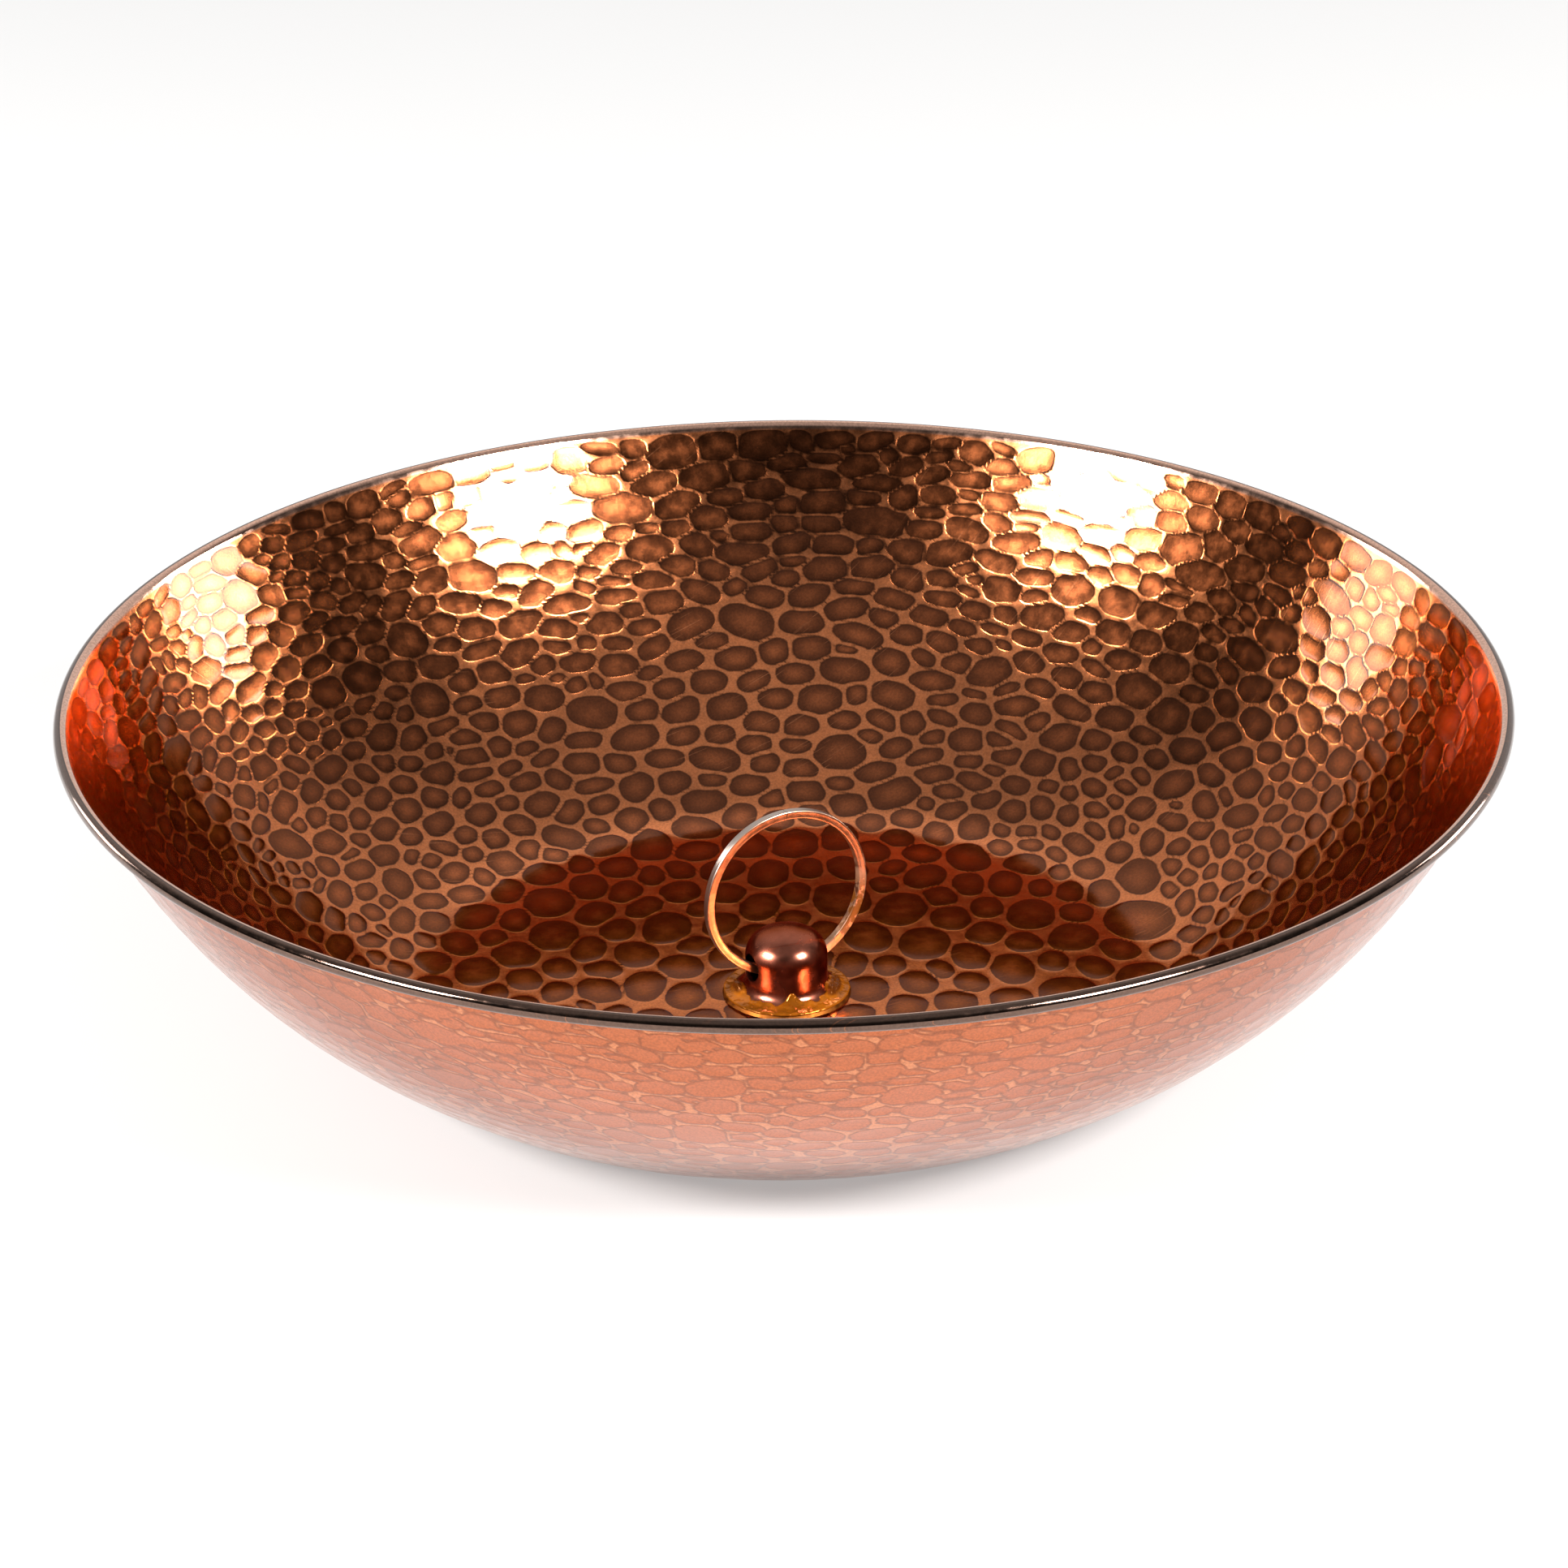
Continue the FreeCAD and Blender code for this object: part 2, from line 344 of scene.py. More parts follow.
class HammerMarks:
    """Sites, axes and shapes of the hammer marks on the sheet's upper side."""

    def __init__(self, line, sizes):
        self.sizes = sizes
        self.random = np.random.default_rng(sizes.seed)
        rows = [row for row in line.rows if row["side"] == "inside"]
        self.along = np.array([row["along"] for row in rows])
        self.profile = np.array([[row["r"], row["z"], row["up"][0], row["up"][1]] for row in rows])
        self.place_samples()
        self.place_sites()
        for _ in range(26):
            self.spread_sites()
        self.shape_marks()

    def on_sheet(self, along, angle):
        """Point, directions round, up the wall and out of the sheet, at each place of the sheet."""
        values = [np.interp(along, self.along, self.profile[:, k]) for k in range(4)]
        r, z, up_r, up_z = values
        cos, sin = np.cos(angle), np.sin(angle)
        point = np.stack([r * cos, r * sin, z], axis=1)
        round_ = np.stack([-sin, cos, np.zeros_like(cos)], axis=1)
        up = np.stack([up_r * cos, up_r * sin, up_z], axis=1)
        rising = np.stack([up_z * cos, up_z * sin, -up_r], axis=1)
        return point, round_, rising, up

    def cell(self, along, angle):
        """Inverse square sizes of the room that one mark gets: along round, along rising, and both."""
        sizes = self.sizes
        grow = smooth_step(125, 232, along)
        tall = sizes.mark_tall_low + (sizes.mark_tall_rim - sizes.mark_tall_low) * grow
        lean = math.radians(FLOOR_GRAIN_DEG) - angle
        across_round, across_rising = np.cos(lean), -np.sin(lean)
        along_round, along_rising = np.sin(lean), np.cos(lean)
        wide, long_ = sizes.floor_wide ** 2, sizes.floor_long ** 2
        floor_uu = across_round ** 2 * wide + along_round ** 2 * long_
        floor_vv = across_rising ** 2 * wide + along_rising ** 2 * long_
        floor_uv = across_round * across_rising * wide + along_round * along_rising * long_
        on_wall = smooth_step(84, 122, along)
        uu = floor_uu * (1 - on_wall) + sizes.mark_wide ** 2 * on_wall
        vv = floor_vv * (1 - on_wall) + tall ** 2 * on_wall
        uv = floor_uv * (1 - on_wall)
        spread = uu * vv - uv ** 2
        return vv / spread, uu / spread, -uv / spread, spread

    def place_samples(self):
        pitch = 2.1
        along, angle = [], []
        for s in np.arange(pitch, self.along[-1], pitch):
            r = np.interp(s, self.along, self.profile[:, 0])
            count = max(6, round(2 * math.pi * r / pitch))
            along.append(np.full(count, s))
            angle.append(2 * math.pi * (np.arange(count) + self.random.random()) / count)
        self.sample_along = np.concatenate(along)
        self.sample_angle = np.concatenate(angle)
        self.samples = self.on_sheet(self.sample_along, self.sample_angle)[0]
        self.sample_area = pitch ** 2

    def place_sites(self):
        area = np.sqrt(self.cell(self.sample_along, self.sample_angle)[3])
        share = self.sample_area / area
        count = round(share.sum())
        keys = self.random.random(len(share)) ** (1 / share)
        chosen = np.argsort(-keys)[:count]
        self.site_along = self.sample_along[chosen]
        self.site_angle = self.sample_angle[chosen]
        self.big = np.exp(self.random.normal(0, self.sizes.size_spread, count))
        self.set_frames()

    def set_frames(self):
        self.point, self.round_, self.rising, self.up = self.on_sheet(self.site_along, self.site_angle)
        self.uu, self.vv, self.uv, _ = self.cell(self.site_along, self.site_angle)

    def offsets(self, points, near):
        """Where points lie in the frames of nearby marks."""
        base = self.point[near]
        found = []
        for axis in (self.round_[near], self.rising[near], self.up[near]):
            found.append(points @ axis.T - np.sum(base * axis, axis=1))
        return found

    def spread_sites(self):
        """Moves every site to the middle of the sheet that is nearest to it, by its own measure."""
        owner = np.zeros(len(self.samples), dtype=int)
        for s in np.unique(self.sample_along):
            mine = np.nonzero(self.sample_along == s)[0]
            near = np.nonzero(np.abs(self.site_along - s) < 26)[0]
            u, v, w = self.offsets(self.samples[mine], near)
            far = self.uu[near] * u ** 2 + self.vv[near] * v ** 2 + 2 * self.uv[near] * u * v + (w / 8) ** 2
            owner[mine] = near[np.argmin(far / self.big[near] ** 2, axis=1)]
        self.owner = owner
        count = np.maximum(np.bincount(owner, minlength=len(self.big)), 1)
        delta = self.samples - self.point[owner]
        u = np.sum(delta * self.round_[owner], axis=1)
        v = np.sum(delta * self.rising[owner], axis=1)
        mean_u = np.bincount(owner, u, len(self.big)) / count
        mean_v = np.bincount(owner, v, len(self.big)) / count
        self.moments = [
            np.bincount(owner, u * u, len(self.big)) / count - mean_u ** 2,
            np.bincount(owner, v * v, len(self.big)) / count - mean_v ** 2,
            np.bincount(owner, u * v, len(self.big)) / count - mean_u * mean_v,
        ]
        r = np.maximum(np.interp(self.site_along, self.along, self.profile[:, 0]), 4.0)
        self.site_angle = self.site_angle + mean_u / r
        self.site_along = np.clip(self.site_along + mean_v, 1.0, self.along[-1] - 1.5)
        self.set_frames()

    def shape_marks(self):
        """An oval in each cell, with its own lean and its own uneven outline."""
        uu, vv, uv = self.moments
        half_sum = (uu + vv) / 2
        half_gap = np.sqrt(((uu - vv) / 2) ** 2 + uv ** 2)
        lean = np.arctan2(2 * uv, uu - vv) / 2
        long_ = 2 * np.sqrt(np.maximum(half_sum + half_gap, 1.0))
        short = 2 * np.sqrt(np.maximum(half_sum - half_gap, 1.0))
        count = len(lean)
        crowd = smooth_step(150, 225, self.site_along)
        fill = 0.84 + 0.12 * crowd + self.random.normal(0, 0.035, count)
        self.half_long = long_ * fill
        self.half_short = short * fill
        self.lean = lean + self.random.normal(0, 0.10, count)
        self.wave_size = np.abs(self.random.normal(0, 1, (3, count))) * np.array([[0.020], [0.026], [0.014]])
        self.wave_turn = self.random.random((3, count)) * 2 * math.pi
        self.tone = self.random.random(count)

    def field(self, points, along):
        """Distance in mm to the nearest mark's edge, below zero inside it, with its middle and its tone."""
        near = np.nonzero(np.abs(self.site_along - along) < 14)[0]
        u, v, w = self.offsets(points, near)
        cos, sin = np.cos(self.lean[near]), np.sin(self.lean[near])
        p = (u * cos + v * sin) / self.half_long[near]
        q = (v * cos - u * sin) / self.half_short[near]
        turn = np.arctan2(q, p)
        outline = 1.0
        for k in range(3):
            outline = outline + self.wave_size[k, near] * np.cos((k + 2) * turn + self.wave_turn[k, near])
        power = 2.25
        reach = (np.abs(p) ** power + np.abs(q) ** power) ** (1 / power)
        slope_p = np.cos(turn) / self.half_long[near]
        slope_q = np.sin(turn) / self.half_short[near]
        steep = np.sqrt(slope_p ** 2 + slope_q ** 2)
        reach = reach / outline
        edge = (reach - 1) / steep + np.where(np.abs(w) > 6, 50.0, 0.0)
        best = np.argmin(edge, axis=1)
        rows = np.arange(len(points))
        nearest = edge[rows, best]
        # Two marks that would run into each other keep a thin web between them
        web = 0.55 - 0.30 * smooth_step(150, 225, np.float64(along))
        between_marks = (np.partition(edge, 1, axis=1)[:, 1] - nearest) / 2
        nearest = np.maximum(nearest, np.where(nearest < 1.0, web - between_marks, nearest))
        return nearest, reach[rows, best], self.tone[near[best]]


def hammered_sheet(sizes):
    """The whole sheet: hammered inside and outside, its edge rolled round the wire."""
    line = SheetLine(sizes)
    marks = HammerMarks(line, sizes)
    points, faces = [], []
    columns = {"mark": [], "middle": [], "tone": [], "inside": [], "rim": [], "turn": []}
    starts = []
    total = 1
    points.append(np.array([[0.0, 0.0, line.rows[0]["z"]]]))
    for name in columns:
        columns[name].append(np.array([1.0 if name == "inside" else 0.0]))
    outside_start = None
    for row in line.rows:
        count = row["points"]
        angle = 2 * math.pi * np.arange(count) / count
        cos, sin = np.cos(angle), np.sin(angle)
        place = np.stack([row["r"] * cos, row["r"] * sin, np.full(count, row["z"])], axis=1)
        side = row["side"]
        edge, middle, tone = np.full(count, 3.0), np.full(count, 2.0), np.zeros(count)
        if side in ("inside", "outside"):
            if side == "outside" and outside_start is None:
                outside_start = row["along"]
            along = row["along"] if side == "inside" else line.inside_length - (row["along"] - outside_start)
            edge, middle, tone = marks.field(place, along)
            step = smooth_step(0.55, -0.85, edge) * sizes.edge_rise
            crown = np.maximum(1 - middle ** 2, 0) * sizes.crown_rise
            from_rim = line.inside_length - along
            kept = smooth_step(0.2, 1.6, np.float64(from_rim)) * smooth_step(17.4, 19.5, np.float64(row["r"]))
            up = np.stack([row["up"][0] * cos, row["up"][0] * sin, np.full(count, row["up"][1])], axis=1)
            place = place + up * ((step + crown) * kept)[:, None]
        points.append(place)
        columns["mark"].append(edge)
        columns["middle"].append(middle)
        columns["tone"].append(tone)
        columns["inside"].append(np.full(count, 1.0 if side == "inside" else 0.0))
        columns["rim"].append(np.full(count, 1.0 if side in ("rim", "curl") else 0.0))
        columns["turn"].append(np.full(count, row["turn"]))
        starts.append(total)
        total += count
    points.append(np.array([[0.0, 0.0, 0.0]]))
    for name in columns:
        columns[name].append(np.array([0.0]))
    first, last = line.rows[0], line.rows[-1]
    for j in range(first["points"]):
        faces.append((0, starts[0] + j, starts[0] + (j + 1) % first["points"]))
    for i in range(len(starts) - 1):
        stitch(faces, starts[i], line.rows[i]["points"], starts[i + 1], line.rows[i + 1]["points"])
    for j in range(last["points"]):
        faces.append((total, starts[-1] + (j + 1) % last["points"], starts[-1] + j))
    piece = make_piece("hammered_basin", np.concatenate(points), faces)
    for name, values in columns.items():
        store(piece.data, name, np.concatenate(values))
    return piece


# ---------------------------------------------------------------- cap, ring and flux


def cap_line(sizes, inset, spacing=0.45):
    """The cap's skin from the top of its crown down to where the foot fillet ends on the brim."""
    brim_z, top = CAP_BOX[0][2] / MM, CAP_BOX[1][2] / MM
    side = sizes.cap_side / 2 - inset
    foot_z = brim_z + sizes.cap_sheet - inset
    top_z = top - inset
    fillet = sizes.foot + inset
    knuckle = sizes.knuckle - inset
    fillet_centre = (side + fillet, foot_z + fillet)
    knuckle_centre = (side - knuckle, top - sizes.crown)
    rise = top_z - knuckle_centre[1]
    crown = (knuckle_centre[0] ** 2 + rise ** 2 - knuckle ** 2) / (2 * (rise - knuckle))
    lean = math.degrees(math.atan2(knuckle_centre[1] - (top_z - crown), knuckle_centre[0]))
    line = list(arc_line((0, top_z - crown), crown, 90, lean, spacing)[0])
    line += list(arc_line(knuckle_centre, knuckle, lean, 0, spacing)[0][1:])
    straight = knuckle_centre[1] - fillet_centre[1]
    for k in range(1, 12):
        line.append((side, knuckle_centre[1] - straight * k / 12))
    line += list(arc_line(fillet_centre, fillet, 180, 270, spacing)[0])
    return [(float(r), float(z)) for r, z in line]


def domed_cap(sizes):
    """The drawn cap: dome, side, fillet and brim in one sheet, drilled through along X."""
    brim_radius, brim_z = CAP_BOX[1][0] / MM, CAP_BOX[0][2] / MM
    round_edge = 0.22
    outside = cap_line(sizes, 0.0)
    upper = brim_z + sizes.cap_sheet
    rim = [(brim_radius - 1.2, upper), (brim_radius - round_edge, upper)]
    rim += [tuple(p) for p in arc_line((brim_radius - round_edge, upper - round_edge), round_edge, 90, 0, 0.08)[0][1:]]
    rim += [tuple(p) for p in arc_line((brim_radius - round_edge, brim_z + round_edge), round_edge, 0, -90, 0.08)[0]]
    inside = cap_line(sizes, sizes.cap_sheet)[::-1]
    inside[-1] = (0.0, inside[-1][1])
    outside[0] = (0.0, outside[0][1])
    points, faces = turned(outside + rim + inside, 192)
    uneven = []
    for x, y, z in points:
        push = noise.noise(Vector((x, y, z)) * 0.22) * 0.05
        r = max(math.hypot(x, y), 0.01)
        if r > brim_radius - 1.5 or z < brim_z + sizes.cap_sheet + 0.4:
            push = min(push, 0.0) * 0.3
        uneven.append((x * (1 - abs(push) / r), y * (1 - abs(push) / r), z))
    cap = make_piece("domed_cap", uneven, faces)
    drill_z = (SHEET_MM + sizes.hole_height) * MM
    bm = bmesh.new()
    bmesh.ops.create_cone(
        bm, cap_ends=True, segments=72, radius1=sizes.hole / 2 * MM, radius2=sizes.hole / 2 * MM,
        depth=2.5 * brim_radius * MM, matrix=Matrix.Translation((0, 0, drill_z)) @ Matrix.Rotation(math.pi / 2, 4, "Y"))
    drill_mesh = bpy.data.meshes.new("drill")
    bm.to_mesh(drill_mesh)
    bm.free()
    drill = bpy.data.objects.new("drill", drill_mesh)
    bpy.context.scene.collection.objects.link(drill)
    cut = cap.modifiers.new("drill", "BOOLEAN")
    cut.object = drill
    cut.operation = "DIFFERENCE"
    cut.solver = "EXACT"
    worn = cap.modifiers.new("worn_edges", "BEVEL")
    worn.width = 0.12 * MM
    worn.segments = 2
    worn.limit_method = "ANGLE"
    worn.angle_limit = math.radians(50)
    bake_modifiers(cap)
    bpy.data.objects.remove(drill)
    cap.data.set_sharp_from_angle(angle=math.radians(40))
    return cap


def bake_modifiers(piece):
    """Makes the evaluated mesh the piece's own, and drops its modifiers."""
    graph = bpy.context.evaluated_depsgraph_get()
    graph.update()
    made = bpy.data.meshes.new_from_object(piece.evaluated_get(graph))
    piece.modifiers.clear()
    piece.data = made


def bar_section(sizes):
    """The square bar's section: broken edges and faces that the drawing left a little hollow."""
    half, edge = sizes.bar / 2, sizes.bar_edge
    section = []
    for corner in range(4):
        turn = math.radians(45 + 90 * corner)
        middle = (math.copysign(half - edge, math.cos(turn)), math.copysign(half - edge, math.sin(turn)))
        for step in range(4):
            angle = math.radians(90 * corner + 30 * step)
            section.append((middle[0] + edge * math.cos(angle), middle[1] + edge * math.sin(angle)))
        side = math.radians(90 * (corner + 1))
        for across in (0.45, 0.0, -0.45):
            flat = half - 0.05 * (1 - across ** 2 / 0.6)
            along = across * half
            section.append((
                flat * math.cos(side) + along * math.sin(side) * (1 if corner % 2 == 0 else -1) * 0
                + along * (abs(math.sin(side)) if corner == 0 else -abs(math.sin(side))),
                flat * math.sin(side) + along * (-abs(math.cos(side)) if corner == 3 else abs(math.cos(side)))))
    return section


def bent_ring(sizes):
    """The ring of square bar, bent by hand, with its butt joint at the top."""
    middle_z = (RING_BOX[0][2] + RING_BOX[1][2]) / 2 / MM
    radius = (RING_BOX[1][0] - RING_BOX[0][0]) / 2 / MM - sizes.bar / 2 - sizes.bend_error
    half_gap = sizes.joint_gap / 2 / radius
    steps = 260
    section = bar_section(sizes)
    count = len(section)
    points, faces, outer, smear = [], [], [], []
    for i in range(steps + 1):
        turn = math.pi / 2 + half_gap + (2 * math.pi - 2 * half_gap) * i / steps
        wobble = sizes.bend_error * (0.6 * math.cos(2 * turn + 0.7) + 0.4 * math.cos(5 * turn + 2.1))
        lean = 0.10 * math.sin(3 * turn + 0.4)
        for out, across in section:
            twisted = (out * math.cos(lean * 0.12) - across * math.sin(lean * 0.12),
                       out * math.sin(lean * 0.12) + across * math.cos(lean * 0.12))
            reach = radius + wobble + twisted[0]
            points.append((reach * math.cos(turn), twisted[1], middle_z + reach * math.sin(turn)))
            outer.append(1.0 if out > sizes.bar / 2 - 0.14 else 0.0)
            smear.append(math.exp(-(math.remainder(turn + 0.45, 2 * math.pi) / 0.55) ** 4))
    for i in range(steps):
        stitch(faces, i * count, count, (i + 1) * count, count)
    faces.append(tuple(range(count)))
    faces.append(tuple(steps * count + j for j in reversed(range(count))))
    ring = make_piece("bent_ring", points, faces)
    store(ring.data, "outer", outer)
    store(ring.data, "smear", smear)
    bm = bmesh.new()
    bm.from_mesh(ring.data)
    bmesh.ops.recalc_face_normals(bm, faces=bm.faces)
    bm.to_mesh(ring.data)
    bm.free()
    ring.data.set_sharp_from_angle(angle=math.radians(40))
    return ring


def flux_thickness(along, angle, place):
    """How thick the hardened flux lies: along the skin from the brim's edge, and round the cap."""
    front = math.radians(-117)
    off = [math.remainder(angle - math.radians(a), 2 * math.pi) for a in (-117, -34, 160, -108)]
    rough = noise.fractal(Vector(place) * 0.45, 0.8, 2.1, 4) * 0.30
    top = 5.2 + 1.4 * noise.noise(Vector(place) * 0.35 + Vector((7, 1, 3)))
    top += 2.6 * math.exp(-(off[3] / 0.22) ** 2) + 3.0 * math.exp(-(off[1] / 0.42) ** 4)
    top += 2.4 * math.exp(-(off[2] / 0.30) ** 4) - 2.6 * (1 - math.exp(-(off[0] / 1.9) ** 4))
    base = 0.22 + 0.16 * math.exp(-(off[0] / 1.5) ** 2)
    lumps = 1.55 * math.exp(-(off[1] / 0.45) ** 4 - ((along - 5.0) / 2.6) ** 4)
    lumps += 1.7 * math.exp(-(off[2] / 0.24) ** 4 - ((along - 4.6) / 2.2) ** 4)
    lumps += 0.35 * math.exp(-(off[3] / 0.25) ** 2 - ((along - 4.6) / 2.2) ** 2)
    body = (base + lumps) * (1 + rough * 1.6)
    edge = min(max((top - along) / 0.9, 0.0), 1.0)
    return body * edge ** 0.5 - 0.02


def hardened_flux(sizes):
    """The amber flux over the brim, with a lump on each side, where the cap was soldered."""
    brim_radius, brim_z = CAP_BOX[1][0] / MM, CAP_BOX[0][2] / MM
    upper = brim_z + sizes.cap_sheet
    skin = [(brim_radius + 0.01, upper - 0.30), (brim_radius - 0.04, upper - 0.06)]
    skin += [(r, upper) for r in np.linspace(brim_radius - 0.15, sizes.cap_side / 2 + sizes.foot + 0.2, 9)]
    skin += cap_line(sizes, 0.0, 0.30)[::-1][1:26]
    skin = np.array(skin)
    steps = np.hypot(*np.diff(skin, axis=0).T)
    along = np.concatenate([[0.0], np.cumsum(steps)])
    direction = np.gradient(skin, axis=0)
    out = np.stack([-direction[:, 1], direction[:, 0]], axis=1) * -1
    out /= np.linalg.norm(out, axis=1)[:, None]
    around = 420
    rows = len(skin)
    thick = np.zeros((rows, around))
    upper_points = np.zeros((rows, around, 3))
    lower_points = np.zeros((rows, around, 3))
    for i in range(rows):
        for j in range(around):
            angle = 2 * math.pi * j / around
            c, s = math.cos(angle), math.sin(angle)
            place = (skin[i, 0] * c, skin[i, 0] * s, skin[i, 1])
            t = flux_thickness(along[i], angle, place)
            thick[i, j] = t
            for points, offset in ((upper_points, max(t, 0.0)), (lower_points, -0.06)):
                r, z = skin[i] + out[i] * offset
                points[i, j] = (r * c, r * s, z)
    keep = thick > 0.0
    points = np.concatenate([upper_points.reshape(-1, 3), lower_points.reshape(-1, 3)])
    size = rows * around
    faces, edges = [], {}
    for i in range(rows - 1):
        for j in range(around):
            k = (j + 1) % around
            corners = [(i, j), (i, k), (i + 1, k), (i + 1, j)]
            if sum(keep[a, b] for a, b in corners) < 3:
                continue
            face = [a * around + b for a, b in corners]
            faces.append(tuple(face))
            faces.append(tuple(size + index for index in reversed(face)))
            for a, b in zip(face, face[1:] + face[:1]):
                if (b, a) in edges:
                    del edges[(b, a)]
                else:
                    edges[(a, b)] = True
    for a, b in edges:
        faces.append((b, a, size + a, size + b))
    piece = make_piece("hardened_flux", points, faces)
    store(piece.data, "thick", np.concatenate([thick.ravel(), np.zeros(size)]))
    bm = bmesh.new()
    bm.from_mesh(piece.data)
    bmesh.ops.delete(bm, geom=[v for v in bm.verts if not v.link_faces], context="VERTS")
    bmesh.ops.recalc_face_normals(bm, faces=bm.faces)
    bm.to_mesh(piece.data)
    bm.free()
    return piece


# ---------------------------------------------------------------- materials


def add_node(tree, kind, settings, feeds):
    """Adds one node, sets its settings, and gives each input a value or a link."""
    made = tree.nodes.new(kind)
    for name, value in settings.items():
        setattr(made, name, value)
    for name, value in feeds.items():
        if isinstance(value, bpy.types.NodeSocket):
            tree.links.new(value, made.inputs[name])
        else:
            made.inputs[name].default_value = value
    return made


def new_material(name):
    """An empty node material and its tree, with the output node in it."""
    material = bpy.data.materials.new(name)
    material.use_nodes = True
    tree = material.node_tree
    tree.nodes.clear()
    return material, tree


def between(tree, value, low, high, bottom=0.0, top=1.0):
    """A value spread smoothly from one range to another."""
    return add_node(tree, "ShaderNodeMapRange", {"interpolation_type": "SMOOTHSTEP"}, {
        "Value": value, "From Min": low, "From Max": high, "To Min": bottom, "To Max": top}).outputs[0]


def blend(tree, share, first, second, how="MIX"):
    """One colour over another."""
    return add_node(tree, "ShaderNodeMix", {"data_type": "RGBA", "blend_type": how}, {
        "Factor": share, "A": first, "B": second}).outputs["Result"]


def hammered_copper(colours):
    """Hammered and browned copper sheet: darker marks, lighter rubbed web, glossy rolled rim."""
    material, tree = new_material("hammered_browned_copper")
    where = add_node(tree, "ShaderNodeTexCoord", {}, {}).outputs["Object"]
    read = {}
    for name in ("mark", "middle", "tone", "inside", "rim", "turn"):
        read[name] = add_node(tree, "ShaderNodeAttribute", {"attribute_name": name}, {}).outputs["Fac"]
    # Browning in patches about 40 mm across, and in specks of half a millimetre
    patch = add_node(tree, "ShaderNodeTexNoise", {}, {"Vector": where, "Scale": 26.0, "Detail": 4.0}).outputs["Fac"]
    speck = add_node(tree, "ShaderNodeTexNoise", {}, {"Vector": where, "Scale": 1500.0, "Detail": 2.0}).outputs["Fac"]
    smear = add_node(tree, "ShaderNodeTexNoise", {}, {"Vector": where, "Scale": 260.0, "Detail": 4.0}).outputs["Fac"]
    # The oxide lies uneven: the outline of a mark wanders by a fifth of a millimetre
    wander = add_node(tree, "ShaderNodeMath", {"operation": "MULTIPLY_ADD"}, {0: smear, 1: 0.7, 2: -0.35}).outputs[0]
    edge = add_node(tree, "ShaderNodeMath", {"operation": "ADD"}, {0: read["mark"], 1: wander}).outputs[0]
    in_mark = between(tree, edge, 0.20, -0.40)
    # Painted shade: a dark line in the crease at the foot of each mark; and a burnished line outside it
    crease_shade_a = add_node(tree, "ShaderNodeMath", {"operation": "ADD"}, {0: edge, 1: 0.25}).outputs[0]
    crease_shade_b = add_node(tree, "ShaderNodeMath", {"operation": "ABSOLUTE"}, {0: crease_shade_a}).outputs[0]
    crease_shade = between(tree, crease_shade_b, 0.50, 0.05)
    shine_a = add_node(tree, "ShaderNodeMath", {"operation": "SUBTRACT"}, {0: edge, 1: 0.38}).outputs[0]
    shine_b = add_node(tree, "ShaderNodeMath", {"operation": "ABSOLUTE"}, {0: shine_a}).outputs[0]
    shine = between(tree, shine_b, 0.32, 0.0)
    # Marks: dark brown round their edge, rubbed lighter on their crown
    tint = add_node(tree, "ShaderNodeMath", {"operation": "MULTIPLY_ADD", "use_clamp": True}, {
        0: read["tone"], 1: 0.55, 2: between(tree, patch, 0.35, 0.65, -0.1, 0.45)}).outputs[0]
    crown = between(tree, read["middle"], 0.90, 0.05)
    rubbed = blend(tree, tint, opaque(tuple(c * 0.60 for c in colours.patina)), opaque(colours.patina))
    mark = blend(tree, crown, opaque(tuple(c * 0.32 for c in colours.patina)), rubbed)
    web = blend(tree, between(tree, patch, 0.35, 0.65), opaque(tuple(c * 0.72 for c in colours.web)),
                opaque(colours.web))
    sheet = blend(tree, in_mark, web, mark)
    shine_share = add_node(tree, "ShaderNodeMath", {"operation": "MULTIPLY"}, {0: shine, 1: 0.35}).outputs[0]
    crease_shade_share = add_node(tree, "ShaderNodeMath", {"operation": "MULTIPLY"}, {0: crease_shade, 1: 0.60}).outputs[0]
    sheet = blend(tree, shine_share, sheet, opaque(colours.bright))
    # Painted shade, near black, in the crease round each mark
    sheet = blend(tree, crease_shade_share, sheet, opaque(tuple(c * 0.16 for c in colours.patina)))
    # The outside is cleaned: its marks are a little redder and darker than its web
    outer = blend(tree, in_mark, opaque(colours.bright), opaque(colours.outer_mark))
    # Painted shade in the crease round each mark outside, too
    outer_crease_shade = add_node(tree, "ShaderNodeMath", {"operation": "MULTIPLY"}, {0: crease_shade, 1: 0.75}).outputs[0]
    outer = blend(tree, outer_crease_shade, outer, opaque(tuple(c * 0.55 for c in colours.outer_mark)))
    both = blend(tree, read["inside"], outer, sheet)
    # The rolled rim: pale inwards, a dark line on top, brown outwards
    rim_ramp = add_node(tree, "ShaderNodeValToRGB", {}, {})
    half_turn = add_node(tree, "ShaderNodeMath", {"operation": "MULTIPLY_ADD"}, {0: read["turn"], 1: 0.5, 2: 0.0})
    tree.links.new(half_turn.outputs[0], rim_ramp.inputs["Fac"])
    brown = tuple(c * 0.17 for c in colours.rim)
    stops = [(0.0, colours.rim), (0.240, colours.rim), (0.256, tuple(c * 0.08 for c in colours.rim)),
             (0.270, tuple(c * 0.10 for c in colours.rim)), (0.286, brown), (0.62, brown), (0.80, colours.rim)]
    for place, colour in stops[2:]:
        rim_ramp.color_ramp.elements.new(place)
    for element, (place, colour) in zip(rim_ramp.color_ramp.elements, stops):
        element.position = place
        element.color = opaque(colour)
    rimmed = blend(tree, read["rim"], both, rim_ramp.outputs["Color"])
